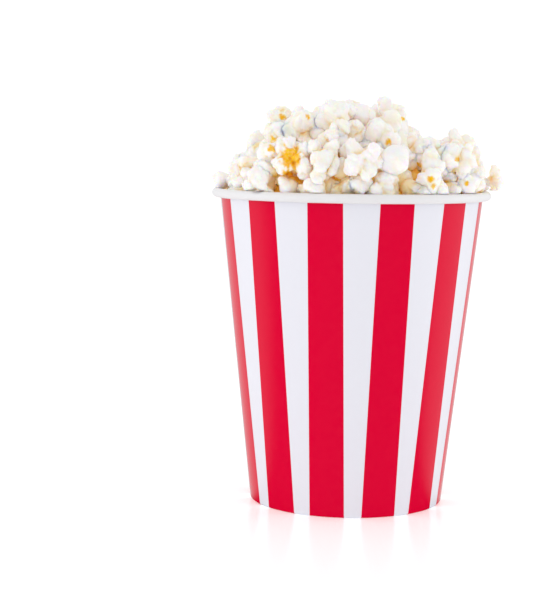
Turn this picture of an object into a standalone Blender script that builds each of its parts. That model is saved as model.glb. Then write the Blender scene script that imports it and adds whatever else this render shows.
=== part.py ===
"""A paper bucket heaped with popcorn: Blender 4.5, metres, +Z up, origin at the middle of the foot.

Three solids: the wall, which is one sheet with a rolled rim and a folded foot; the base, a pan
whose flange sits in that fold; and the popcorn, one solid out to the uneven top of its heap.
"""

import math
import random

import bmesh
import bpy
from mathutils import Matrix, Vector

# Driving dimensions, in metres.
HEIGHT = 0.155  # foot to the top of the rim
RIM_RADIUS = 0.069  # outermost point of the rolled rim
FOOT_RADIUS = 0.0479  # outside of the wall at the foot
BEAD_RADIUS = 0.0022  # rolled rim, outside of the roll
BOARD = 0.0005  # thickness of the paperboard
GAP = 0.0003  # kept between touching solids
BASE_LIFT = 0.008  # underside of the base above the foot
FOLD_HEIGHT = 0.0062  # inner fold of the wall, measured from the foot
FLANGE_END = 0.0012  # lower edge of the base's flange above the foot
CURL_SWEEP = math.radians(300)  # how far the rim rolls round

SIDES = 60  # facets round the bucket
CURL_STEPS = 9  # facets along the curl

# The heap: its skyline from the front as (distance right of the axis, height above the rim).
SKYLINE = (
    (-0.066, 0.004),
    (-0.055, 0.015),
    (-0.046, 0.027),
    (-0.037, 0.039),
    (-0.022, 0.037),
    (-0.008, 0.045),
    (0.004, 0.041),
    (0.016, 0.044),
    (0.027, 0.036),
    (0.033, 0.026),
    (0.041, 0.022),
    (0.050, 0.030),
    (0.061, 0.026),
    (0.070, 0.010),
)
HEAP_RADIUS = 0.066  # where the heap meets the rim, front and back
HEAP_NARROWEST = 0.018  # least half depth of the heap, at its two sides
HEAP_EDGE = 0.003  # height of the heap above the rim at its edge
HEAP_FULLNESS = 0.5  # power of the fall from the skyline to the rim: lower is fuller
MOUND = (0.058, 0.058, 0.030)  # half sizes of the mound under the topmost kernels
KERNEL_REACH = (0.0100, 0.0125)  # least and most distance from a popped kernel's middle to its tip
KERNEL_SPACING = 0.0165
RING_STEP = 0.9 * KERNEL_SPACING  # from one ring of kernels to the next
TURN_SCATTER = 0.2  # share of the spacing that a kernel may be off along its ring
RING_SCATTER = 0.15  # the same, across the ring
KERNEL_SINK = 0.7  # share of its reach that a kernel's middle lies in from the heap's outside
KERNEL_HEART = 0.62  # radius of a kernel's round heart, as a share of its reach
KERNEL_LOBES = 5
LOBE_SIZE = (0.36, 0.5)  # least and most radius of a lobe, as a share of its kernel's reach
KERNEL_SEED = 11
OVERHANG = (0.0610, 0.004, 0.1640)  # middle of the kernel that lies out over the rim
OVERHANG_REACH = 0.0095
VOXEL = 0.0034  # grain of the heap's skin
KEPT_FACES = 0.22  # share of the skin's triangles that its shape needs
BLOCK_TAPER = 0.006  # how much narrower the block under the heap is at its top
CORNER = 0.0004  # room for the corner between the wall and the base
COVER_SWEEP = math.radians(150)  # how far round the bead the popcorn may lie on it
COVER_STEPS = 6
ROOM_BESIDE = 0.02  # space past the rim that the popcorn may lie in
ROOM_ABOVE = 0.07  # space above the rim that the popcorn may fill

# The wall is a cone, so everything follows from its slope.
BEAD_CENTRE_R = RIM_RADIUS - BEAD_RADIUS
BEAD_CENTRE_Z = HEIGHT - BEAD_RADIUS
ROLL = BEAD_RADIUS - BOARD / 2  # radius of the curl at the middle of the board


def lean():
    """The wall's angle from upright: it leaves the foot and meets the curl at a tangent."""
    angle = 0.0
    for _ in range(20):
        top_r = BEAD_CENTRE_R - (ROLL - BOARD / 2) * math.cos(angle)
        top_z = BEAD_CENTRE_Z + (ROLL - BOARD / 2) * math.sin(angle)
        angle = math.atan2(top_r - FOOT_RADIUS, top_z)
    return angle


LEAN = lean()


def wall_radius(z, inset=0.0):
    """Radius at height z of the surface that lies inset inside the wall's outer face."""
    return FOOT_RADIUS + z * math.tan(LEAN) - inset / math.cos(LEAN)


def arc(centre_r, centre_z, radius, start, sweep, steps):
    """Points from start, clockwise through sweep, round a centre in the (radius, height) plane."""
    turns = [start - sweep * step / steps for step in range(steps + 1)]
    return [(centre_r + radius * math.cos(a), centre_z + radius * math.sin(a)) for a in turns]


def material(name, colour, roughness):
    """A Principled BSDF with a plain colour."""
    made = bpy.data.materials.new(name)
    made.use_nodes = True
    shader = made.node_tree.nodes["Principled BSDF"]
    shader.inputs["Base Color"].default_value = (*colour, 1.0)
    shader.inputs["Roughness"].default_value = roughness
    shader.inputs["Metallic"].default_value = 0.0
    return made


def mesh_object(name, bm, surface=None):
    """A named object from a bmesh, with outward normals and its own material."""
    bmesh.ops.recalc_face_normals(bm, faces=bm.faces)
    mesh = bpy.data.meshes.new(name)
    bm.to_mesh(mesh)
    bm.free()
    if surface:
        mesh.materials.append(surface)
    made = bpy.data.objects.new(name, mesh)
    bpy.context.scene.collection.objects.link(made)
    return made


def turned(profile, closed):
    """A bmesh of a profile of (radius, height) points, spun once round Z.

    A closed profile is a ring's section; an open one starts and ends on the axis.
    """
    bm = bmesh.new()
    points = [bm.verts.new((r, 0.0, z)) for r, z in profile]
    edges = [bm.edges.new(pair) for pair in zip(points, points[1:])]
    if closed:
        edges.append(bm.edges.new((points[-1], points[0])))
    bmesh.ops.spin(
        bm,
        geom=points + edges,
        cent=(0, 0, 0),
        axis=(0, 0, 1),
        angle=math.tau,
        steps=SIDES,
        use_merge=True,
    )
    bmesh.ops.remove_doubles(bm, verts=bm.verts, dist=1e-7)
    return bm


def as_helper(obj):
    """Marks a cutter, which is no part of the object."""
    obj.hide_render = True
    obj.display_type = "WIRE"
    return obj


def wall():
    """The side: one sheet, curled out at the rim and folded in and up round the base's flange."""
    slot = 2 * BOARD + 2 * GAP  # from the wall's outer face to the fold's outer face
    curl_start = math.pi - LEAN
    outer = BEAD_RADIUS - BOARD
    profile = [(wall_radius(0.0), 0.0)]
    profile += arc(BEAD_CENTRE_R, BEAD_CENTRE_Z, outer, curl_start, CURL_SWEEP, CURL_STEPS)
    back = arc(BEAD_CENTRE_R, BEAD_CENTRE_Z, BEAD_RADIUS, curl_start, CURL_SWEEP, CURL_STEPS)
    profile += reversed(back)
    profile += [
        (wall_radius(BOARD, BOARD), BOARD),
        (wall_radius(BOARD, BOARD + slot), BOARD),
        (wall_radius(FOLD_HEIGHT, BOARD + slot), FOLD_HEIGHT),
        (wall_radius(FOLD_HEIGHT, 2 * BOARD + slot), FOLD_HEIGHT),
        (wall_radius(0.0, 2 * BOARD + slot), 0.0),
    ]
    made = mesh_object(
        "bucket_wall",
        turned(profile, closed=True),
        material("striped coated board", (0.80, 0.02, 0.05), 0.3),
    )
    made.data.shade_smooth()
    made.data.set_sharp_from_angle(angle=math.radians(35))
    return made


def base():
    """The bottom: a disc with a flange that runs down between the wall and its fold."""
    top = BASE_LIFT + BOARD
    outer = BOARD + GAP
    inner = outer + BOARD
    profile = [
        (0.0, top),
        (wall_radius(top, outer) - BOARD, top),
        (wall_radius(top - BOARD, outer), top - BOARD),
        (wall_radius(FLANGE_END, outer), FLANGE_END),
        (wall_radius(FLANGE_END, inner), FLANGE_END),
        (wall_radius(BASE_LIFT - BOARD, inner), BASE_LIFT - BOARD),
        (wall_radius(BASE_LIFT, inner) - BOARD, BASE_LIFT),
        (0.0, BASE_LIFT),
    ]
    return mesh_object(
        "bucket_base",
        turned(profile, closed=False),
        material("white board", (0.86, 0.86, 0.87), 0.5),
    )


def skyline(x):
    """Height of the heap above the rim at x, straight lines between the named points."""
    if x <= SKYLINE[0][0]:
        return SKYLINE[0][1]
    for (x0, h0), (x1, h1) in zip(SKYLINE, SKYLINE[1:]):
        if x <= x1:
            return h0 + (h1 - h0) * (x - x0) / (x1 - x0)
    return SKYLINE[-1][1]


def heap_top(x, y):
    """Height of the heap above the foot: the skyline, falling away to the rim front and back."""
    across = math.sqrt(max(HEAP_RADIUS**2 - x**2, HEAP_NARROWEST**2))
    fall = max(1.0 - (y / across) ** 2, 0.0) ** HEAP_FULLNESS
    return HEIGHT + HEAP_EDGE + (skyline(x) - HEAP_EDGE) * fall


def kernel_places(chance):
    """(middle, reach) of each popped kernel on top: rings that widen outwards, with scatter."""
    low, high = KERNEL_REACH
    ring = 0.0
    while ring < HEAP_RADIUS - low / 2:
        count = max(1, round(math.tau * ring / KERNEL_SPACING))
        start = chance.uniform(0.0, math.tau)
        for step in range(count):
            turn = start + math.tau * (step + chance.uniform(-TURN_SCATTER, TURN_SCATTER)) / count
            reach = chance.uniform(low, high)
            away = ring + chance.uniform(-RING_SCATTER, RING_SCATTER) * KERNEL_SPACING
            away = min(away, HEAP_RADIUS - KERNEL_SINK * reach)
            x, y = away * math.cos(turn), away * math.sin(turn)
            yield Vector((x, y, heap_top(x, y) - KERNEL_SINK * reach)), reach
        ring += RING_STEP
    yield Vector(OVERHANG), OVERHANG_REACH


def add_kernel(bm, middle, reach, chance):
    """A popped kernel: a round heart with lobes bursting out of it."""
    balls = [(middle, KERNEL_HEART * reach)]
    for _ in range(KERNEL_LOBES):
        way = Vector([chance.gauss(0.0, 1.0) for _ in range(3)]).normalized()
        radius = chance.uniform(*LOBE_SIZE) * reach
        balls.append((middle + way * (reach - radius), radius))
    for place, radius in balls:
        bmesh.ops.create_icosphere(
            bm, subdivisions=2, radius=radius, matrix=Matrix.Translation(place)
        )


def lumps():
    """The popped kernels, on a mound and a block that more than fills the bucket, in one skin."""
    chance = random.Random(KERNEL_SEED)
    bm = bmesh.new()
    for middle, reach in kernel_places(chance):
        add_kernel(bm, middle, reach, chance)
    block_top = HEIGHT + HEAP_EDGE
    bmesh.ops.create_cone(
        bm,
        cap_ends=True,
        segments=SIDES,
        radius1=RIM_RADIUS,
        radius2=RIM_RADIUS - BLOCK_TAPER,
        depth=block_top,
        matrix=Matrix.Translation((0.0, 0.0, block_top / 2)),
    )
    bmesh.ops.create_icosphere(
        bm,
        subdivisions=4,
        radius=1.0,
        matrix=Matrix.Translation((0.0, 0.0, HEIGHT)) @ Matrix.Diagonal((*MOUND, 1.0)),
    )
    made = mesh_object("popcorn", bm, material("popcorn", (0.92, 0.87, 0.74), 0.7))
    remesh = made.modifiers.new("one skin", "REMESH")
    remesh.mode = "VOXEL"
    remesh.voxel_size = VOXEL
    thin = made.modifiers.new("fewer facets", "DECIMATE")
    thin.ratio = KEPT_FACES
    return made


def inside():
    """What the popcorn may fill: the bucket above its base, and the space above and over the rim."""
    clear = BOARD + GAP
    floor = BASE_LIFT + BOARD + GAP
    over_rim = arc(
        BEAD_CENTRE_R,
        BEAD_CENTRE_Z,
        BEAD_RADIUS + GAP,
        math.pi - LEAN,
        COVER_SWEEP,
        COVER_STEPS,
    )
    reach = RIM_RADIUS + ROOM_BESIDE
    roof = HEIGHT + ROOM_ABOVE
    profile = [(0.0, floor), (wall_radius(floor, clear) - CORNER, floor)]
    profile += over_rim
    profile += [(reach, over_rim[-1][1]), (reach, roof), (0.0, roof)]
    return as_helper(mesh_object("inside_of_bucket", turned(profile, closed=False)))


def popcorn():
    """The heap as one solid: its lumps, kept to the space that the bucket leaves."""
    heap = lumps()
    keep = heap.modifiers.new("keep inside the bucket", "BOOLEAN")
    keep.operation = "INTERSECT"
    keep.object = inside()
    return heap


def main():
    for old in list(bpy.data.objects):
        bpy.data.objects.remove(old)
    wall()
    base()
    popcorn()


main()
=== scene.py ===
"""The looks of a striped paper bucket of popcorn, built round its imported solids. Metres, +Z up."""

import math

import bpy
import numpy as np
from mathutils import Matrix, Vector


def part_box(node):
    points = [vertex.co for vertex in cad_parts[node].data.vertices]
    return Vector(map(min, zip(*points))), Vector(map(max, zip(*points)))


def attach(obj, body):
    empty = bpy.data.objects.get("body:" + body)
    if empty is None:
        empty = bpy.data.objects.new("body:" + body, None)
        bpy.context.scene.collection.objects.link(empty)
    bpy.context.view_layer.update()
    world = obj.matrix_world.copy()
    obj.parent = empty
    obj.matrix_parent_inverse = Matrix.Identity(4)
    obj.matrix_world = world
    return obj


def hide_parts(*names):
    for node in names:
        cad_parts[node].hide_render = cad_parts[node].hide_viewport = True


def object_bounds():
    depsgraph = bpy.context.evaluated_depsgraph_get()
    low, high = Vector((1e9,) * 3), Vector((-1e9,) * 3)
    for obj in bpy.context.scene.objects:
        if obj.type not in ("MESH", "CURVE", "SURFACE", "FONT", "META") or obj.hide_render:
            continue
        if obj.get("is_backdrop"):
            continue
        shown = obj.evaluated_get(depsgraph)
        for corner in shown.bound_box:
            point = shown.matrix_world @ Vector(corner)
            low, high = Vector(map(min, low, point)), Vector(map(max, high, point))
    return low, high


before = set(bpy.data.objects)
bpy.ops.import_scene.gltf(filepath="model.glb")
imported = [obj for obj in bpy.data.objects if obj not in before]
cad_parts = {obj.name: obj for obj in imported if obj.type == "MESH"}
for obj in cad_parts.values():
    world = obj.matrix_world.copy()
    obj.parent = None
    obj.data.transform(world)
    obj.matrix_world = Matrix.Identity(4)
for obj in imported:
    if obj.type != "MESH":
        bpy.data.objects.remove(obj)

import openvdb
from mathutils import Matrix, Vector
from mathutils.bvhtree import BVHTree

CAD_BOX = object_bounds()
MM = 0.001

# ---------------------------------------------------------------------------
# Sizes read from the frame
# ---------------------------------------------------------------------------
WALL_LOW, WALL_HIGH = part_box("bucket_wall")
HEIGHT = WALL_HIGH.z
RIM_RADIUS = (WALL_HIGH.x - WALL_LOW.x) / 2
BASE_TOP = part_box("bucket_base")[1].z


def foot_radius():
    """Outer radius of the wall where it stands."""
    rings = (v.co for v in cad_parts["bucket_wall"].data.vertices)
    return max(math.hypot(co.x, co.y) for co in rings if co.z < 0.1 * MM)


FOOT_RADIUS = foot_radius()

# ---------------------------------------------------------------------------
# Sizes of what the solids leave out
# ---------------------------------------------------------------------------
BOARD = 0.5 * MM  # thickness of the paperboard
BEAD = 2.2 * MM  # outer radius of the rolled rim
ROLL_SWEEP = math.radians(300)
FOLD = 6.2 * MM  # height of the inner fold at the foot
FOLD_GAP = 1.1 * MM  # room inside that fold, for the base's flange
ROUND = 192  # columns round the bucket
LAP = math.radians(9)  # the glued lap at the back, as an angle
LAP_AT = math.radians(176)  # where it starts, from the front (-Y) towards +X
LAP_STEP = 0.28 * MM
LAP_RISE = math.radians(0.25)  # over which the lap's cut edge stands up
LAP_FADE = 0.6  # share of the lap over which it sinks back
OUT_OF_ROUND = ((2, 0.12 * MM, 0.7), (5, 0.06 * MM, 0.0))  # waves round the rim: count, depth, phase
WALL_STEPS = 24  # up the wall
ROLL_STEPS = (20, 24)  # round the curl's inner and outer face
FOLD_STEPS = (8, 10)  # round the fold's inner and outer face
FOLD_PRINTED = 6  # the last steps of that outer face, which show the print

STRIPES = 12
STRIPE_PHASE = math.radians(-10.5)  # middle of the stripe nearest the front
STRIPE_WIDTH = 16.8 * MM

# ---------------------------------------------------------------------------
# Helpers
# ---------------------------------------------------------------------------


def mesh_object(name, vertices, faces, materials):
    """A named mesh object, shaded smooth."""
    mesh = bpy.data.meshes.new(name)
    mesh.from_pydata(vertices, [], faces)
    for surface in materials:
        mesh.materials.append(surface)
    mesh.shade_smooth()
    made = bpy.data.objects.new(name, mesh)
    bpy.context.scene.collection.objects.link(made)
    return made


class Nodes:
    """Short ways to wire up one material's or world's node tree."""

    def __init__(self, tree):
        self.tree = tree

    def put(self, value, socket):
        """Links a socket, or sets a plain value."""
        if isinstance(value, bpy.types.NodeSocket):
            self.tree.links.new(value, socket)
        elif isinstance(value, (tuple, list)) and len(value) == 3 and socket.type == "RGBA":
            socket.default_value = (*value, 1.0)
        else:
            socket.default_value = value

    def add(self, kind, settings=None, **inputs):
        """A node of a kind, with its settings and its inputs by name."""
        node = self.tree.nodes.new(kind)
        for key, value in (settings or {}).items():
            setattr(node, key, value)
        for key, value in inputs.items():
            self.put(value, node.inputs[key.replace("_", " ")])
        return node

    def math(self, operation, *values, clamp=False):
        node = self.add("ShaderNodeMath", {"operation": operation, "use_clamp": clamp})
        for value, socket in zip(values, node.inputs):
            self.put(value, socket)
        return node.outputs[0]

    def mix(self, share, first, second):
        """A colour between two, by a share of the second."""
        node = self.add("ShaderNodeMix", {"data_type": "RGBA", "clamp_factor": True})
        self.put(share, node.inputs[0])
        self.put(first, node.inputs[6])
        self.put(second, node.inputs[7])
        return node.outputs[2]

    def ramp(self, value, low, high, to_low=0.0, to_high=1.0):
        """A smooth step of a value from low to high."""
        node = self.add("ShaderNodeMapRange", {"interpolation_type": "SMOOTHSTEP"})
        for key, number in zip(("Value", "From Min", "From Max"), (value, low, high)):
            self.put(number, node.inputs[key])
        self.put(to_low, node.inputs["To Min"])
        self.put(to_high, node.inputs["To Max"])
        return node.outputs[0]

    def noise(self, where, size, detail=2.0, roughness=0.5):
        """Noise from 0 to 1 whose features are about size metres apart."""
        node = self.add(
            "ShaderNodeTexNoise",
            Vector=where,
            Scale=1.0 / size,
            Detail=detail,
            Roughness=roughness,
        )
        return node.outputs["Fac"]

    def bump(self, height, distance, strength, under=None):
        node = self.add("ShaderNodeBump", Height=height, Distance=distance, Strength=strength)
        if under is not None:
            self.put(under, node.inputs["Normal"])
        return node.outputs["Normal"]


def new_material(name):
    """(material, its Nodes, its Principled BSDF)"""
    made = bpy.data.materials.new(name)
    made.use_nodes = True
    return made, Nodes(made.node_tree), made.node_tree.nodes["Principled BSDF"]


# ---------------------------------------------------------------------------
# Materials
# ---------------------------------------------------------------------------
PAPER_WHITE = (0.825, 0.828, 0.895)
PRINT_RED = (0.76, 0.0, 0.036)
INNER_WHITE = (0.825, 0.82, 0.835)


def paper_surface(n, where):
    """(mottle from 0 to 1, normal): the faint unevenness of coated paperboard."""
    fibres = n.noise(where, 0.5 * MM, detail=4.0, roughness=0.6)
    waves = n.noise(where, 9 * MM, detail=2.0)
    normal = n.bump(fibres, 0.02 * MM, 0.35, n.bump(waves, 0.25 * MM, 0.35))
    return n.noise(where, 3 * MM, detail=5.0, roughness=0.65), normal


def striped_paper():
    """Glossy coated board with straight red stripes of one width, which lean with the cone."""
    made, n, shader = new_material("striped_board")
    where = n.add("ShaderNodeTexCoord").outputs["Object"]
    xyz = n.add("ShaderNodeSeparateXYZ", Vector=where).outputs
    turn = n.math("ARCTAN2", xyz["X"], n.math("MULTIPLY", xyz["Y"], -1.0))
    period = math.tau / STRIPES
    from_middle = n.math("PINGPONG", n.math("SUBTRACT", turn, STRIPE_PHASE), period / 2)
    squares = n.math("ADD", n.math("POWER", xyz["X"], 2.0), n.math("POWER", xyz["Y"], 2.0))
    distance = n.math("MULTIPLY", from_middle, n.math("SQRT", squares))
    ragged = n.math("MULTIPLY_ADD", n.noise(where, 0.6 * MM, 3.0), 0.12 * MM, -0.06 * MM)
    edge = n.math("ADD", distance, ragged)
    half = STRIPE_WIDTH / 2
    red = n.ramp(edge, half - 0.09 * MM, half + 0.09 * MM, 1.0, 0.0)
    mottle, normal = paper_surface(n, where)
    darker = tuple(0.93 * part for part in PRINT_RED)
    white = n.mix(mottle, tuple(0.975 * part for part in PAPER_WHITE), PAPER_WHITE)
    n.put(n.mix(red, white, n.mix(mottle, darker, PRINT_RED)), shader.inputs["Base Color"])
    n.put(n.ramp(mottle, 0.3, 0.7, 0.11, 0.16), shader.inputs["Roughness"])
    n.put(normal, shader.inputs["Normal"])
    shader.inputs["Specular IOR Level"].default_value = 0.25
    return made


def plain_paper(name, colour, rough):
    """White board: the unprinted side, with a fine fibre."""
    made, n, shader = new_material(name)
    where = n.add("ShaderNodeTexCoord").outputs["Object"]
    mottle, normal = paper_surface(n, where)
    n.put(n.mix(mottle, tuple(0.96 * part for part in colour), colour), shader.inputs["Base Color"])
    n.put(n.ramp(mottle, 0.3, 0.7, rough, rough + 0.1), shader.inputs["Roughness"])
    n.put(normal, shader.inputs["Normal"])
    return made


POPPED_WHITE = (0.972, 0.930, 0.922)
# cream: painted warm shade in creases and deep in the heap, and also the butter stains' real colour
CREAM_SHADE_AND_BUTTER = (0.975, 0.845, 0.610)
# tan: painted shade in the deepest creases
CREASE_SHADE_TAN = (0.930, 0.620, 0.260)
# amber: painted shade deep in the heap
DEEP_SHADE_AMBER = (0.990, 0.640, 0.100)
HULL = (1.000, 0.540, 0.000)


def popped_corn():
    """Popped kernels, with painted warm shade in their creases and deep in the heap. Their flake
    attribute holds crease, depth in the heap, hull and tint.
    """
    made, n, shader = new_material("popped_corn")
    where = n.add("ShaderNodeTexCoord").outputs["Object"]
    data = n.add("ShaderNodeAttribute", {"attribute_name": "flake"})
    parts = n.add("ShaderNodeSeparateColor", Color=data.outputs["Color"]).outputs
    crease, deep_shade, hull, tint = parts["Red"], parts["Green"], parts["Blue"], data.outputs["Alpha"]
    butter = n.ramp(n.noise(where, 7 * MM, 3.0), 0.48, 0.78)
    stain = n.math("MULTIPLY", butter, n.math("MULTIPLY_ADD", tint, 0.30, 0.03))
    # painted warm shade in the creases, with the real butter stains added
    crease_shade_and_butter = n.math("ADD", n.ramp(crease, 0.05, 1.0), stain, clamp=True)
    colour = n.mix(crease_shade_and_butter, POPPED_WHITE, CREAM_SHADE_AND_BUTTER)
    # painted shade, patchy, in the deepest creases
    deep_crease_shade = n.math("MULTIPLY", n.ramp(crease, 0.45, 0.9), n.ramp(n.noise(where, 4 * MM), 0.4, 0.6))
    colour = n.mix(n.math("MULTIPLY", deep_crease_shade, 0.75), colour, CREASE_SHADE_TAN)
    # painted warm shade deep in the heap, cream and then amber, where little light reaches
    colour = n.mix(n.ramp(deep_shade, 0.0, 0.6, 0.0, 0.6), colour, CREAM_SHADE_AND_BUTTER)
    deep = n.math("ADD", n.math("MULTIPLY", crease, 0.5), n.math("MULTIPLY", deep_shade, 0.95))
    colour = n.mix(n.math("MULTIPLY", deep, deep_shade, clamp=True), colour, DEEP_SHADE_AMBER)
    speckle = n.noise(where, 1.2 * MM, 3.0)
    skin = n.math("MULTIPLY", hull, n.ramp(speckle, 0.35, 0.6, 0.85, 1.0), clamp=True)
    colour = n.mix(skin, colour, HULL)
    n.put(colour, shader.inputs["Base Color"])
    n.put(n.math("MULTIPLY_ADD", hull, -0.3, 0.58, clamp=True), shader.inputs["Roughness"])
    foam = n.noise(where, 0.55 * MM, 3.0, 0.6)
    dents = n.noise(where, 1.8 * MM, 2.0)
    n.put(n.bump(foam, 0.06 * MM, 0.5, n.bump(dents, 0.2 * MM, 0.35)), shader.inputs["Normal"])
    shader.inputs["Specular IOR Level"].default_value = 0.3
    shader.inputs["Subsurface Weight"].default_value = 0.9
    shader.inputs["Subsurface Radius"].default_value = (1.0, 0.72, 0.42)
    shader.inputs["Subsurface Scale"].default_value = 2.6 * MM
    return made


def core_surface():
    """What shows in the gaps between kernels: more popcorn, coloured with the painted warm shade of the
    deep gaps.
    """
    made, n, shader = new_material("popcorn_painted_shade")
    where = n.add("ShaderNodeTexCoord").outputs["Object"]
    patches = n.ramp(n.noise(where, 6 * MM, 4.0, 0.6), 0.35, 0.65)
    # painted shade: two ambers in patches
    n.put(n.mix(patches, (0.99, 0.72, 0.22), (0.97, 0.54, 0.05)), shader.inputs["Base Color"])
    n.put(n.bump(n.noise(where, 2.5 * MM, 4.0), 1.0 * MM, 0.6), shader.inputs["Normal"])
    shader.inputs["Roughness"].default_value = 0.6
    return made


MIRRORED_FLOOR = 0.75  # brightness of the floor beside the bucket, as its gloss mirrors it


def floor_surface():
    """A plain pale sweep, lit from within like a light table, and dark in front in reflections."""
    made, n, shader = new_material("pale_floor")
    where = n.add("ShaderNodeTexCoord").outputs["Object"]
    cloud = n.noise(where, 0.4, 2.0)
    n.put(n.mix(cloud, (0.90, 0.90, 0.90), (0.93, 0.93, 0.93)), shader.inputs["Base Color"])
    shader.inputs["Roughness"].default_value = 0.25
    shader.inputs["Specular IOR Level"].default_value = 0.28
    shader.inputs["Emission Color"].default_value = (1.0, 1.0, 1.0, 1.0)
    shader.inputs["Emission Strength"].default_value = 0.29
    xyz = n.add("ShaderNodeSeparateXYZ", Vector=where).outputs
    turn = n.math("ABSOLUTE", n.math("ARCTAN2", xyz["X"], n.math("MULTIPLY", xyz["Y"], -1.0)))
    beside = n.ramp(turn, math.radians(66), math.radians(90), 0.0, MIRRORED_FLOOR)
    mirrored = n.add("ShaderNodeEmission", Strength=beside)
    path = n.add("ShaderNodeLightPath").outputs
    both = n.add("ShaderNodeMixShader", Fac=path["Is Glossy Ray"])
    n.put(shader.outputs["BSDF"], both.inputs[1])
    n.put(mirrored.outputs[0], both.inputs[2])
    n.put(both.outputs[0], made.node_tree.nodes["Material Output"].inputs["Surface"])
    return made


# ---------------------------------------------------------------------------
# The bucket
# ---------------------------------------------------------------------------


def arc(centre, radius, start, sweep, steps):
    """Points clockwise round a centre in the (radius, height) plane, both ends included."""
    turns = [start - sweep * step / steps for step in range(steps + 1)]
    return [(centre[0] + radius * math.cos(a), centre[1] + radius * math.sin(a)) for a in turns]


def wall_lean():
    """The wall's angle from upright, from the foot to where it turns into the curl."""
    angle = 0.0
    for _ in range(20):
        reach = BEAD - BOARD
        top_r = RIM_RADIUS - BEAD - reach * math.cos(angle)
        top_z = HEIGHT - BEAD + reach * math.sin(angle)
        angle = math.atan2(top_r - FOOT_RADIUS, top_z)
    return angle


def wall_profile():
    """(points, how many of them lie on the printed face): the sheet's section, as a closed loop.

    It runs up the outer face, round the curl, back down the inside and round the fold.
    """
    lean = wall_lean()
    side = Vector((math.cos(lean), -math.sin(lean)))  # out of the wall
    up = Vector((math.sin(lean), math.cos(lean)))  # along the wall
    foot = Vector((FOOT_RADIUS, 0.0))
    top = (HEIGHT - BEAD) / math.cos(lean)
    bend = BOARD + FOLD_GAP / 2  # outer radius of the fold at the foot
    pivot = foot - side * bend + up * bend
    centre = (RIM_RADIUS - BEAD, HEIGHT - BEAD)
    start = math.pi - lean
    heights = [top * step / WALL_STEPS for step in range(1, WALL_STEPS)]
    printed = [tuple(foot + up * h) for h in heights]
    rolled = arc(centre, BEAD - BOARD, start, ROLL_SWEEP, ROLL_STEPS[0])
    shown = arc(centre, BEAD, start, ROLL_SWEEP, ROLL_STEPS[1])[::-1]
    inside = [tuple(foot - side * BOARD + up * h) for h in reversed(heights)]
    fold_in = arc(pivot, bend - BOARD, -lean, math.pi, FOLD_STEPS[0])
    fold_top = [
        tuple(pivot - side * (bend - BOARD) + up * (FOLD - bend)),
        tuple(pivot - side * bend + up * (FOLD - bend)),
    ]
    fold_out = arc(pivot, bend, math.pi - lean, -math.pi, FOLD_STEPS[1])
    points = printed + rolled + shown + inside + fold_in + fold_top + fold_out
    return points, len(printed)


def lap_offset(turn):
    """How far the glued lap stands out at an angle from the front."""
    past = (turn - LAP_AT) % math.tau
    if past < LAP:
        return LAP_STEP * min(past / LAP_RISE, 1.0, (LAP - past) / (LAP * LAP_FADE))
    return 0.0


def columns():
    """Angles round the bucket, with close ones at the lap's step."""
    even = [math.tau * step / ROUND for step in range(ROUND)]
    step = [LAP_AT + math.radians(a) for a in (-0.05, 0.25, 0.5)]
    return sorted(a % math.tau for a in even + step)


def paper_wall(printed_surface, plain_surface):
    """The sheet: printed outside, plain white where it curls and inside."""
    profile, printed = wall_profile()
    turns = columns()
    vertices = []
    for turn in turns:
        stand = lap_offset(turn)
        wobble = sum(deep * math.sin(count * turn + phase) for count, deep, phase in OUT_OF_ROUND)
        for radius, height in profile:
            out = radius + stand + wobble * (height / HEIGHT) ** 2
            vertices.append((out * math.sin(turn), -out * math.cos(turn), max(height, 0.0)))
    count = len(profile)
    faces = []
    plain = []
    for column in range(len(turns)):
        near = column * count
        far = ((column + 1) % len(turns)) * count
        for step in range(count):
            after = (step + 1) % count
            faces.append((near + step, far + step, far + after, near + after))
            plain.append(printed <= step < count - FOLD_PRINTED)
    made = mesh_object("paper_wall", vertices, faces, [printed_surface, plain_surface])
    made.data.polygons.foreach_set("material_index", np.array(plain, dtype=np.int32))
    made.data.set_sharp_from_angle(angle=math.radians(50))
    return made


# ---------------------------------------------------------------------------
# Popped kernels: each is a field of rounded lobes, meshed, in millimetres
# ---------------------------------------------------------------------------
# Per kind: wings, their length, radius, bulges on each, bulge radius, widest angle between a wing
# and the way the kernel bursts, how flat a wing is, and how rough its skin.
KINDS = {
    "butterfly": ((4, 5), (6.4, 8.2), (4.0, 5.2), (2, 3), (2.7, 3.7), 2.0, 0.85, 1.0),
    "mushroom": ((1, 1), (1.5, 2.0), (7.2, 7.8), (1, 2), (3.2, 4.0), 0.4, 0.95, 0.4),
    "fan": ((5, 6), (6.8, 8.4), (2.8, 3.4), (1, 2), (2.0, 2.6), 1.3, 0.75, 0.8),
    "knob": ((3, 4), (4.4, 6.0), (3.9, 4.9), (2, 3), (2.5, 3.4), 2.3, 0.90, 0.9),
}
HEART = np.array([0.0, 0.0, -0.5])  # the middle, where the hull stays
HEART_RADII = np.array([3.6, 3.3, 2.9])
WINGS_APART = 0.55  # highest cosine between two wings
WARP = (13.0, 0.5)  # waves that bend the whole kernel: length, and how far they move it
BILLOW = (4.8, 0.42)  # bulges on its skin: how far apart, and how high
RIPPLE = (2.9, 0.18)  # smaller ones
GRAIN = (1.6, 0.04)  # the smallest
LOBE_BLEND = 0.6  # how softly the lobes of one wing meet
WING_BLEND = 0.3  # how softly wings meet, which leaves a crease
BLUR_BLEND = 3.0  # the same for the field without creases
HULLS = 3  # bits of hull near the heart
HULL_AWAY = 4.0  # how far from it they are
HULL_WIDE = 1.9  # and how far they reach
FLAKE_REACH = 17.0  # half the box that a kernel is meshed in
FLAKE_VOXEL = 0.55
KEPT_FACES = 0.46  # share of the triangles kept after meshing


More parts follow.
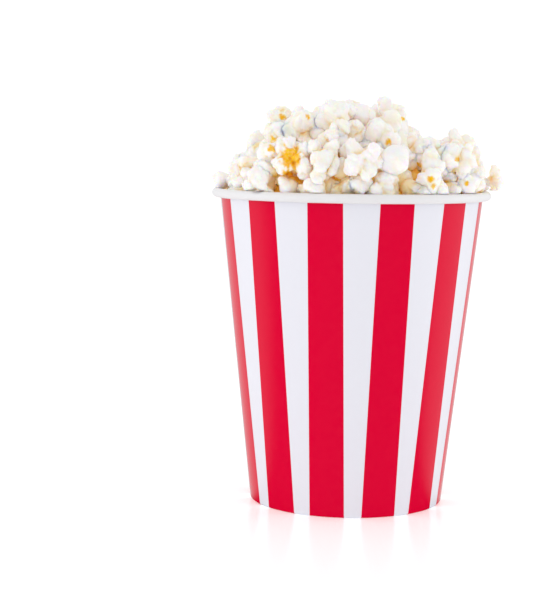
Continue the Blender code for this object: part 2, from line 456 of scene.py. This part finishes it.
def smooth_min(first, second, blend):
    """The lower of two fields, rounded where they meet."""
    share = np.clip(0.5 + 0.5 * (second - first) / blend, 0.0, 1.0)
    return second + (first - second) * share - blend * share * (1.0 - share)


def lobe_distance(points, lobe):
    """Nearly the distance to an ellipsoid: (centre, axes, radii)."""
    centre, axes, radii = lobe
    local = (points - centre) @ axes.T
    near = np.linalg.norm(local / radii, axis=-1)
    slope = np.linalg.norm(local / radii**2, axis=-1)
    return near * (near - 1.0) / np.maximum(slope, 1e-9)


def any_axes(rng):
    """Three random axes at right angles."""
    return np.linalg.qr(rng.normal(size=(3, 3)))[0]


def any_way(rng):
    """A random direction."""
    way = rng.normal(size=3)
    return way / np.linalg.norm(way)


def waves(rng, length, count):
    """Plane waves of about one length, in all directions."""
    ways = np.array([any_way(rng) for _ in range(count)])
    ways *= math.tau / (length * rng.uniform(0.75, 1.3, size=(count, 1)))
    return ways, rng.uniform(0.0, math.tau, size=count)


def wave_sum(points, wave_set):
    """The waves' sum at each point, about 1 high."""
    ways, phases = wave_set
    return np.sin(points @ ways.T + phases).sum(-1) / math.sqrt(len(phases) / 2)


class Flake:
    """One popped kernel's shape."""

    def __init__(self, kind, seed):
        self.rng = np.random.default_rng(seed)
        *sizes, self.rough = KINDS[kind]
        self.wings = self._wings(*sizes)
        self.warp = [waves(self.rng, WARP[0], 4) for _ in range(3)]
        self.billow = waves(self.rng, BILLOW[0], 6)
        self.ripple = waves(self.rng, RIPPLE[0], 6)
        self.grain = waves(self.rng, GRAIN[0], 6)

    def _wings(self, count, length, radius, bulges, bulge, burst, flat):
        """Lists of lobes, one for each wing and one for the heart."""
        rng = self.rng
        ways = []
        tries = 0
        wanted = rng.integers(count[0], count[1] + 1)
        while len(ways) < wanted:
            tries += 1
            lean, turn = rng.uniform(0, burst), rng.uniform(0, math.tau)
            way = np.array(
                [math.sin(lean) * math.cos(turn), math.sin(lean) * math.sin(turn), math.cos(lean)]
            )
            if tries > 300 or all(way @ other < WINGS_APART for other in ways):
                ways.append(way)
        wings = []
        for way in ways:
            tip = way * rng.uniform(*length)
            size = rng.uniform(*radius)
            narrow = rng.uniform(0.8, 1.0)
            wing = [
                (0.78 * tip, any_axes(rng), size * np.array([1.0, narrow, flat])),
                (0.38 * tip, any_axes(rng), np.full(3, 0.72 * size)),
            ]
            for _ in range(rng.integers(bulges[0], bulges[1] + 1)):
                out = any_way(rng) + 0.6 * way
                out /= np.linalg.norm(out)
                place = 0.8 * tip + out * size * rng.uniform(0.72, 0.92)
                shape = np.array([1.0, rng.uniform(0.8, 1.0), rng.uniform(0.75, 0.95)])
                wing.append((place, any_axes(rng), rng.uniform(*bulge) * shape))
            wings.append(wing)
        wings.append([(HEART, any_axes(rng), HEART_RADII)])
        return wings

    def fields(self, points):
        """(skin, creased, blurred): the skin to mesh, and two fields that tell creases apart."""
        bent = points + WARP[1] * np.stack([wave_sum(points, w) for w in self.warp], -1)
        creased = None
        blurred = None
        for wing in self.wings:
            whole = None
            for lobe in wing:
                far = lobe_distance(bent, lobe)
                whole = far if whole is None else smooth_min(whole, far, LOBE_BLEND)
                blurred = far if blurred is None else smooth_min(blurred, far, BLUR_BLEND)
            creased = whole if creased is None else smooth_min(creased, whole, WING_BLEND)
        bumps = BILLOW[1] * np.abs(wave_sum(bent, self.billow))
        bumps += RIPPLE[1] * np.abs(wave_sum(bent, self.ripple))
        bumps += GRAIN[1] * wave_sum(bent, self.grain)
        return creased - self.rough * bumps, creased, blurred

    def mesh(self, voxel=FLAKE_VOXEL):
        """(vertices, triangles, marks): marks holds crease and hull, each from 0 to 1."""
        steps = int(2 * FLAKE_REACH / voxel)
        line = (np.arange(steps) - steps / 2) * voxel
        points = np.stack(np.meshgrid(line, line, line, indexing="ij"), -1).reshape(-1, 3)
        skin = self.fields(points)[0].reshape(steps, steps, steps).astype(np.float32)
        grid = openvdb.FloatGrid(background=3.0)
        grid.copyFromArray(skin, tolerance=0)
        found, _, quads = grid.convertToPolygons(isovalue=0.0, adaptivity=0.0)
        vertices = (found - steps / 2) * voxel
        vertices, faces = largest_part(vertices, quads)
        vertices, triangles = thinned(vertices, faces)
        return vertices, triangles, self._marks(vertices)

    def _marks(self, vertices):
        _, creased, blurred = self.fields(vertices)
        crease = np.clip((creased - blurred) / 1.5 - 0.10, 0.0, 1.0)
        hull = np.zeros(len(vertices))
        for _ in range(HULLS):
            spot = HEART + HULL_AWAY * any_way(self.rng)
            near = np.linalg.norm(vertices - spot, axis=1)
            hull = np.maximum(hull, np.clip(1.6 - near / HULL_WIDE, 0.0, 1.0))
        hull *= crease > 0.05
        return np.stack([crease, hull], axis=1)


def largest_part(vertices, quads):
    """The largest connected piece of a mesh, so that no speck floats beside it."""
    label = np.arange(len(vertices))
    while True:
        low = label[quads].min(axis=1)
        new = label.copy()
        for corner in range(4):
            np.minimum.at(new, quads[:, corner], low)
        new = new[new]
        if (new == label).all():
            break
        label = new
    names, sizes = np.unique(label, return_counts=True)
    kept = label == names[sizes.argmax()]
    index = np.cumsum(kept) - 1
    return vertices[kept], index[quads[kept[quads[:, 0]]]]


def thinned(vertices, faces):
    """The same surface with fewer triangles, the most of them where it bends."""
    mesh = bpy.data.meshes.new("thin")
    mesh.from_pydata(vertices.tolist(), [], faces.tolist())
    holder = bpy.data.objects.new("thin", mesh)
    bpy.context.scene.collection.objects.link(holder)
    fewer = holder.modifiers.new("fewer", "DECIMATE")
    fewer.ratio = KEPT_FACES
    view = holder.evaluated_get(bpy.context.evaluated_depsgraph_get())
    result = view.to_mesh()
    result.calc_loop_triangles()
    places = np.empty(len(result.vertices) * 3, dtype=np.float32)
    result.vertices.foreach_get("co", places)
    corners = np.empty(len(result.loop_triangles) * 3, dtype=np.int32)
    result.loop_triangles.foreach_get("vertices", corners)
    view.to_mesh_clear()
    bpy.data.objects.remove(holder)
    bpy.data.meshes.remove(mesh)
    return places.reshape(-1, 3).astype(float), corners.reshape(-1, 3)


# ---------------------------------------------------------------------------
# The heap
# ---------------------------------------------------------------------------
# The kernels that show at the front, listed: kind, place across and up from the rim (mm),
# and size. The rest of the heap is scattered.
FRONT = (
    ("mushroom", -63, 3, 0.58),
    ("fan", -50, 9, 0.80),
    ("knob", -46, 20, 0.75),
    ("knob", -36, 34, 0.66),
    ("butterfly", -31, 27, 0.80),
    ("knob", -36, 18, 0.80),
    ("butterfly", -21, 31, 0.90),
    ("butterfly", -7, 33, 0.92),
    ("mushroom", 4, 35, 0.68),
    ("knob", 2, 28, 0.62),
    ("butterfly", 17, 34, 0.88),
    ("butterfly", 15, 27, 0.95),
    ("mushroom", 19, 16, 0.90),
    ("butterfly", 5, 16, 0.85),
    ("knob", 5, 2, 0.75),
    ("knob", 14, 3, 0.80),
    ("knob", -4, 3, 0.68),
    ("fan", -14, 14, 1.05),
    ("butterfly", -15, 3, 0.75),
    ("mushroom", -28, 2, 0.60),
    ("butterfly", -39, 4, 0.90),
    ("butterfly", -26, 15, 0.85),
    ("knob", -9, 24, 0.70),
    ("knob", 31, 21, 0.66),
    ("butterfly", 37, 16, 0.80),
    ("butterfly", 36, 8, 0.85),
    ("knob", 36, 1, 0.70),
    ("fan", 51, 21, 0.88),
    ("butterfly", 48, 14, 0.85),
    ("butterfly", 52, 4, 0.88),
    ("knob", 56, 8, 0.64),
    ("fan", 69, 5, 0.68),
    ("knob", 46, 2, 0.65),
)
# Bare hull and butter on them: across, up from the rim and radius (mm).
SPOTS = (
    (-33, 35, 1.6),
    (-21, 35, 1.5),
    (-37, 24, 1.9),
    (-37, 20, 1.8),
    (-28, 16, 5.4),
    (-29, 9, 2.4),
    (17, 24, 1.6),
    (24, 35, 1.4),
    (31, 13, 1.6),
    (36, 7, 1.6),
    (38, 4, 1.2),
    (49, 16, 1.1),
    (54, 5, 1.2),
)
EXTRA_SHAPES = ("butterfly", "butterfly", "fan", "mushroom", "knob")  # for the rest of the heap
DEEP_SHAPES = ("butterfly", "knob", "butterfly", "knob", "fan", "knob")  # under them, coarser
DEEP_VOXEL = 1.0
FIRST_SEED = 100
PIECE_FLAKES = 29  # kernels joined into one piece at most
FRONT_SIZE = 1.12  # all of FRONT, so that they close up
LAYERS = {  # how deep the scattered kernels' middles are and how far apart (mm), and their sizes
    "outer": ((5.5, 8.0), 10.0, (0.75, 1.0)),
    "deep": ((11.5, 14.5), 9.5, (0.85, 1.05)),
}
SHARES = {"butterfly": 2, "knob": 2, "fan": 2, "mushroom": 1}  # how often a shape is drawn
MAP_REACH = 76 * MM
MAP_STEP = 2 * MM
DEPTH_START = 4.5  # below the heap's outline, in mm: where painted amber shade begins on kernels
DEPTH_FADE = 9.0  # mm from there to full depth
SHADE = {"front": 0.35, "outer": 0.6, "ring": 0.35, "deep": 1.0}  # how much of that painted shade each layer takes
HULL_SHARE = 0.35  # how strongly bits of hull show in the kernels' creases
RING = (12.0 * MM, 7.5 * MM)  # how far in from the rim's edge, and below it, the ring of kernels is
RING_COUNT = 26
RING_SIZES = (0.72, 0.88)
FRONT_IN = 5 * MM  # how far behind the heap's face a front kernel's middle is, at size 1
FRONT_LEAN = 0.7  # how much more than the heap's face they turn to the front
BURST_SCATTER = 0.55  # how far kernels turn from facing straight out
SCATTER_TRIES = 6000
SINK_STEP = 1.5 * MM
SINK_ROUNDS = 6
SINK_POINTS = 60  # points of a kernel that are tested against the outline
SINK_PERCENT = 92  # how many of them have to be under it, but for POKE
REACH = 9 * MM  # a kernel's width, over which the heap's way and lowest point are taken
SPOT_RAGGED = 0.2  # how ragged the spots' edges are
SPOT_SHARP = 5.0  # and how sharp
SPOT_DEPTH = 3 * MM  # how far behind a kernel's middle they reach
SPOT_BACK = -5 * MM  # and they keep to the front of this
HEAP_SEED = 21
SPOT_SEED = 3
CORE_SEED = 5
CORE_TOP = HEIGHT - 16 * MM  # where the core's sides end and its dome starts
CORE_MARGIN = 1.5 * MM  # from the paper
CORE_UNDER = 9 * MM  # how far the dome is under the heap's lowest point nearby
CORE_RELIEF = (11.0, 3.0 * MM)  # waves on the dome: length in mm, and depth
CORE_SIDES = 96
CORE_RINGS = 12
CORE_DOME = 26
RIM_GAP = 0.35 * MM  # air between a kernel and the paper
POKE = 2.5 * MM  # how far a scattered kernel may stand out of the heap's outline
DIPS = ((31, 5, 7), (39, 4, 3), (63, 5, 10), (-49, 4, 6), (-62, 5, 6))  # across, half width, depth (mm)
WIDEST = RIM_RADIUS - 11.5 * MM  # how far out a scattered kernel's middle may be
HEAP_LOW = HEIGHT - 5 * MM  # scattered kernels start here


def solid_tree(node):
    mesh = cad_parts[node].data
    return BVHTree.FromPolygons([v.co for v in mesh.vertices], [p.vertices for p in mesh.polygons])


HEAP = solid_tree("popcorn")


def heap_height(x, y):
    """Height of the heap's solid at a place."""
    hit = HEAP.ray_cast(Vector((x, y, HEIGHT + 0.1)), Vector((0, 0, -1)))[0]
    return HEIGHT - 20 * MM if hit is None else max(hit.z, HEIGHT - 20 * MM)


def height_map():
    """Heights of the heap's outline on a square grid."""
    line = np.arange(-MAP_REACH, MAP_REACH + MAP_STEP / 2, MAP_STEP)
    return np.array([[heap_height(x, y) for y in line] for x in line])


HEIGHT_MAP = height_map()


def heap_normal(place):
    """The heap's outward way near a place, averaged over a kernel's width."""
    total = Vector((0, 0, 1e-6))
    for _, normal, _, _ in HEAP.find_nearest_range(place, REACH):
        total += normal
    return total.normalized()


def wall_inside(height):
    """The paper's inner radius at a height."""
    return FOOT_RADIUS - BOARD / math.cos(wall_lean()) + height * math.tan(wall_lean())


def popcorn_core(surface):
    """The mound under the outer kernels, down to the base: a turned form with rough relief, whose
    colour is painted shade.
    """
    relief = waves(np.random.default_rng(CORE_SEED), CORE_RELIEF[0], 8)
    low, high = BASE_TOP + 0.6 * MM, CORE_TOP
    rings = [(0.02 * FOOT_RADIUS, low), (0.6 * FOOT_RADIUS, low)]
    for step in range(CORE_RINGS):
        height = low + (high - low) * step / (CORE_RINGS - 1)
        rings.append((wall_inside(height) - CORE_MARGIN, height))
    sides = CORE_SIDES
    around = [math.tau * side / sides for side in range(sides)]
    vertices = [(r * math.sin(a), -r * math.cos(a), h) for r, h in rings for a in around]
    widest = rings[-1][0]
    offsets = [(0.0, 0.0)]
    offsets += [(REACH * math.cos(a), REACH * math.sin(a)) for a in np.arange(8) * math.tau / 8]
    for step in range(1, CORE_DOME):
        radius = widest * math.cos(math.pi / 2 * step / CORE_DOME)
        for turn in around:
            x, y = radius * math.sin(turn), -radius * math.cos(turn)
            lowest = min(heap_height(x + dx, y + dy) for dx, dy in offsets)
            top = max(lowest - CORE_UNDER, high)
            rough = CORE_RELIEF[1] * abs(wave_sum(np.array([[x, y, top]]) / MM, relief)[0])
            vertices.append((x, y, top + rough))
    total = len(rings) + CORE_DOME - 1
    faces = [tuple(range(sides - 1, -1, -1))]
    for ring in range(total - 1):
        for side in range(sides):
            after = (side + 1) % sides
            below, above = ring * sides, (ring + 1) * sides
            faces.append((below + side, below + after, above + after, above + side))
    faces.append(tuple((total - 1) * sides + side for side in range(sides)))
    return mesh_object("popcorn_core", vertices, faces, [surface])


def facing(out, spin):
    """A rotation that turns a kernel's burst (+Z) to a direction, then spins it about that."""
    return out.to_track_quat("Z", "Y").to_matrix() @ Matrix.Rotation(spin, 3, "Z")


def placed(rng, shape, place, out, size, tint):
    """One kernel's place in the heap, its burst roughly facing out."""
    burst = (out + BURST_SCATTER * Vector(any_way(rng))).normalized()
    return {
        "shape": shape,
        "place": place,
        "out": out,
        "rotation": facing(burst, rng.uniform(0, math.tau)),
        "size": size,
        "tint": tint,
    }


def front_kernels(rng):
    """The kernels of FRONT, each as deep as the heap's solid is there.

    Past the solid's edge its face is looked for lower down, and then further in.
    """
    counts = dict.fromkeys(KINDS, 0)
    for kind, across, up, size in FRONT:
        x, z = across * MM, HEIGHT + up * MM
        hit = None
        drop = 0.0
        while hit is None:
            hit = HEAP.ray_cast(Vector((x, -0.2, z - drop)), Vector((0, 1, 0)))[0]
            x *= 1.0 if drop < 10 * MM else 0.97
            drop += 1 * MM
        place = Vector((across * MM, hit.y + FRONT_IN * size, z))
        grown = size * FRONT_SIZE
        out = heap_normal(hit)
        if out.y < -0.3:
            out = (out + Vector((0, -FRONT_LEAN, 0))).normalized()
        yield placed(rng, (kind, counts[kind]), place, out, grown, rng.uniform(0.0, 0.7))
        counts[kind] += 1


def dip(x):
    """How much lower than its solid the heap is at a place across."""
    return sum(MM * deep * math.exp(-(((x / MM - at) / half) ** 2)) for at, half, deep in DIPS)


def sunk(kernel, vertices):
    """The kernel moved in until hardly anything of it stands out of the heap's outline."""
    some = vertices[:: max(len(vertices) // SINK_POINTS, 1)] * (kernel["size"] * MM)
    some = some @ np.array(kernel["rotation"]).T
    for _ in range(SINK_ROUNDS):
        points = some + np.array(kernel["place"])
        out = [z - heap_height(x, y) + dip(x) for x, y, z in points]
        if np.percentile(out, SINK_PERCENT) < POKE:
            break
        kernel["place"] = kernel["place"] - kernel["out"] * SINK_STEP
    return kernel


def scattered(rng, layer, library, shapes, taken):
    """Kernels of one layer over the heap's surface, evenly by its area, clear of those taken."""
    depths, spacing, sizes = LAYERS[layer]
    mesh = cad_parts["popcorn"].data
    mesh.calc_loop_triangles()
    corners = [[mesh.vertices[i].co for i in t.vertices] for t in mesh.loop_triangles]
    corners = np.array([c for c in corners if min(v.z for v in c) > HEAP_LOW])
    sides = corners[:, 1:] - corners[:, :1]
    areas = np.linalg.norm(np.cross(sides[:, 0], sides[:, 1]), axis=1)
    for face in rng.choice(len(areas), size=SCATTER_TRIES, p=areas / areas.sum()):
        u, v = rng.uniform(0, 1, size=2)
        if u + v > 1:
            u, v = 1 - u, 1 - v
        spot = Vector(corners[face][0] + u * sides[face][0] + v * sides[face][1])
        out = heap_normal(spot)
        place = spot - out * rng.uniform(*depths) * MM
        reach = math.hypot(place.x, place.y)
        if reach > WIDEST:
            place.x *= WIDEST / reach
            place.y *= WIDEST / reach
        if any((place - other).length < spacing * MM for other in taken):
            continue
        shape = shapes[rng.integers(len(shapes))]
        kernel = placed(rng, shape, place, out, rng.uniform(*sizes), rng.uniform(0, 1))
        kernel = sunk(kernel, library[shape][0])
        taken.append(kernel["place"])
        yield kernel


def ring_kernels(rng, shapes):
    """Kernels all round, just inside the rim, where the heap meets the paper."""
    inset, below = RING
    for step in range(RING_COUNT):
        turn = math.tau * (step + rng.uniform(-0.2, 0.2)) / RING_COUNT
        away = RIM_RADIUS - inset + rng.uniform(-1, 1) * MM
        height = HEIGHT - below + rng.uniform(-1.5, 1.5) * MM
        place = Vector((away * math.sin(turn), -away * math.cos(turn), height))
        out = Vector((math.sin(turn), -math.cos(turn), 1.0)).normalized()
        shape = shapes[rng.integers(len(shapes))]
        yield placed(rng, shape, place, out, rng.uniform(*RING_SIZES), rng.uniform(0, 1))


def depth_share(points):
    """How deep in the heap each point is: 0 at its outline, 1 where only amber light gets."""
    place = np.clip((points[:, :2] + MAP_REACH) / MAP_STEP, 0, len(HEIGHT_MAP) - 1.001)
    low = place.astype(int)
    share = place - low
    x, y = low[:, 0], low[:, 1]
    near = HEIGHT_MAP[x, y] * (1 - share[:, 0]) + HEIGHT_MAP[x + 1, y] * share[:, 0]
    far = HEIGHT_MAP[x, y + 1] * (1 - share[:, 0]) + HEIGHT_MAP[x + 1, y + 1] * share[:, 0]
    outline = near * (1 - share[:, 1]) + far * share[:, 1]
    below = (outline - points[:, 2]) / MM
    return np.clip((below - DEPTH_START) / DEPTH_FADE, 0.0, 1.0)


def off_the_paper(points):
    """Moves points out of the paper: in from the wall, and up on to the rim or off its bead."""
    points = points.copy()
    radius = np.hypot(points[:, 0], points[:, 1])
    height = points[:, 2]
    middle = RIM_RADIUS - BEAD
    resting = (radius > middle) & (height < HEIGHT + RIM_GAP) & (height > HEIGHT - 7 * MM)
    height[resting] = HEIGHT + RIM_GAP
    inside = FOOT_RADIUS - BOARD - RIM_GAP + height * math.tan(wall_lean())
    target = np.where(height < HEIGHT - BEAD, np.minimum(radius, inside), radius)
    across, up = target - middle, height - (HEIGHT - BEAD)
    away = np.hypot(across, up)
    clear = BEAD + RIM_GAP
    near = (away < clear) & (away > 0)
    target[near] = middle + across[near] * clear / away[near]
    height[near] = HEIGHT - BEAD + up[near] * clear / away[near]
    points[:, :2] *= (target / np.maximum(radius, 1e-9))[:, None]
    points[:, 2] = height
    return points


def spots_on(points, rough):
    """How much of SPOTS' hull and butter each point has, with rough edges."""
    amount = np.zeros(len(points))
    edge = SPOT_RAGGED * wave_sum(points / MM, rough)
    for across, up, radius in SPOTS:
        away = np.hypot(points[:, 0] / MM - across, (points[:, 2] - HEIGHT) / MM - up)
        amount = np.maximum(amount, np.clip(SPOT_SHARP * (1.0 + edge - away / radius), 0.0, 1.0))
    return amount


def joined(name, layer, kernels, library, surface):
    """One mesh of many kernels, with their data in the attribute that the material reads."""
    places, corners, data = [], [], []
    count = 0
    rough = waves(np.random.default_rng(SPOT_SEED), 3.5, 6)
    for kernel in kernels:
        vertices, triangles, marks = library[kernel["shape"]]
        turned = vertices * (kernel["size"] * MM) @ np.array(kernel["rotation"]).T
        turned = off_the_paper(turned + np.array(kernel["place"]))
        crease, hull = marks.T
        # painted shade: how much warm shade each point gets for its depth in the heap
        deep_shade = depth_share(turned) * SHADE[layer]
        hull = hull * HULL_SHARE
        if layer in ("front", "outer"):
            front = min(kernel["place"].y + SPOT_DEPTH, SPOT_BACK)
            hull = np.maximum(hull, spots_on(turned, rough) * (turned[:, 1] < front))
        places.append(turned)
        corners.append(triangles + count)
        data.append(np.stack([crease, deep_shade, hull, np.full(len(hull), kernel["tint"])], axis=1))
        count += len(vertices)
    made = mesh_object(name, np.vstack(places).tolist(), np.vstack(corners).tolist(), [surface])
    flake = made.data.attributes.new("flake", "FLOAT_COLOR", "POINT")
    flake.data.foreach_set("color", np.vstack(data).astype(np.float32).ravel())
    return made


def popcorn_pieces(surface):
    """All kernels on the heap, joined into pieces by layer and kind."""
    library = {}
    seed = FIRST_SEED
    counts = dict.fromkeys(KINDS, 0)
    for kind in [row[0] for row in FRONT] + list(EXTRA_SHAPES):
        library[kind, counts[kind]] = Flake(kind, seed).mesh()
        counts[kind] += 1
        seed += 1
    fine = [shape for shape in library for _ in range(SHARES[shape[0]])]
    for number, kind in enumerate(DEEP_SHAPES):
        library[kind, f"deep{number}"] = Flake(kind, seed).mesh(DEEP_VOXEL)
        seed += 1
    coarse = [shape for shape in library if str(shape[1]).startswith("deep")]
    rng = np.random.default_rng(HEAP_SEED)
    layers = {"front": list(front_kernels(rng))}
    taken = [kernel["place"] for kernel in layers["front"]]
    layers["outer"] = list(scattered(rng, "outer", library, fine, taken))
    layers["deep"] = list(scattered(rng, "deep", library, coarse, []))
    layers["ring"] = list(ring_kernels(rng, fine))
    made = []
    for layer, kernels in layers.items():
        for kind in KINDS:
            chosen = [kernel for kernel in kernels if kernel["shape"][0] == kind]
            for first in range(0, len(chosen), PIECE_FLAKES):
                part = chosen[first : first + PIECE_FLAKES]
                name = f"popcorn_{layer}_{kind}_{first // PIECE_FLAKES + 1}"
                made.append(joined(name, layer, part, library, surface))
    return made


# ---------------------------------------------------------------------------
# Camera, light and floor
# ---------------------------------------------------------------------------
TENT_LIGHT = 0.925
BACKDROP_LIGHT = 1.12
LIGHT_BOUNCES = 16  # white kernels pass light on many times before it is lost
CAMERA_PLACE = (0.0, -0.806, 0.1815)
CAMERA_TURN = math.radians(2.69)  # to the left
CAMERA_TILT = math.radians(-6.05)  # down
CAMERA_ROLL = math.radians(0.83)
LENS = 95.4


def add_camera():
    data = bpy.data.cameras.new("camera")
    data.sensor_width = 36.0
    data.lens = LENS
    data.clip_start = 0.05
    made = bpy.data.objects.new("camera", data)
    turn = Matrix.Rotation(CAMERA_TURN, 4, "Z")
    tilt = Matrix.Rotation(math.pi / 2 + CAMERA_TILT, 4, "X")
    roll = Matrix.Rotation(CAMERA_ROLL, 4, "Z")
    made.matrix_world = Matrix.Translation(CAMERA_PLACE) @ turn @ tilt @ roll
    bpy.context.scene.collection.objects.link(made)
    bpy.context.scene.camera = made


def add_floor():
    bpy.ops.mesh.primitive_plane_add(size=30.0)
    floor = bpy.context.object
    floor.name = "floor"
    floor.data.materials.append(floor_surface())
    floor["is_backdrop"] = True


def add_softbox(name, place, target, size, power):
    data = bpy.data.lights.new(name, "AREA")
    data.shape = "RECTANGLE"
    data.size, data.size_y = size
    data.energy = power
    made = bpy.data.objects.new(name, data)
    made.location = place
    made.rotation_euler = (Vector(target) - Vector(place)).to_track_quat("-Z", "Y").to_euler()
    bpy.context.scene.collection.objects.link(made)


def add_world():
    """A white tent, brighter still as the backdrop."""
    world = bpy.data.worlds.new("studio")
    bpy.context.scene.world = world
    world.use_nodes = True
    n = Nodes(world.node_tree)
    path = n.add("ShaderNodeLightPath").outputs
    seen = n.math("MULTIPLY", path["Is Camera Ray"], BACKDROP_LIGHT - TENT_LIGHT)
    background = world.node_tree.nodes["Background"]
    n.put((1.0, 1.0, 1.0), background.inputs["Color"])
    n.put(n.math("ADD", seen, TENT_LIGHT), background.inputs["Strength"])


def main():
    add_camera()
    add_floor()
    add_world()
    add_softbox("left_box", (-0.9, -0.2, 0.35), (0, 0, 0.12), (0.35, 0.5), 0.9)
    add_softbox("right_box", (0.9, 0.15, 0.30), (0, 0, 0.12), (0.35, 0.5), 0.9)
    bpy.context.scene.view_settings.view_transform = "Standard"
    bpy.context.scene.cycles.max_bounces = LIGHT_BOUNCES
    bpy.context.scene.cycles.diffuse_bounces = LIGHT_BOUNCES

    plain = plain_paper("white_board", INNER_WHITE, 0.40)
    wall = paper_wall(striped_paper(), plain)
    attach(wall, "root")
    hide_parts("bucket_wall")

    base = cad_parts["bucket_base"]
    base.data.materials.clear()
    base.data.materials.append(plain_paper("base_board", INNER_WHITE, 0.45))

    core = popcorn_core(core_surface())
    surface = popped_corn()
    for piece in [core] + popcorn_pieces(surface):
        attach(piece, "root")
        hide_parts("popcorn")

    sizes = {"cad": CAD_BOX, "visual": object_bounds()}
    {key: [list(corner) for corner in box] for key, box in sizes.items()}


main()
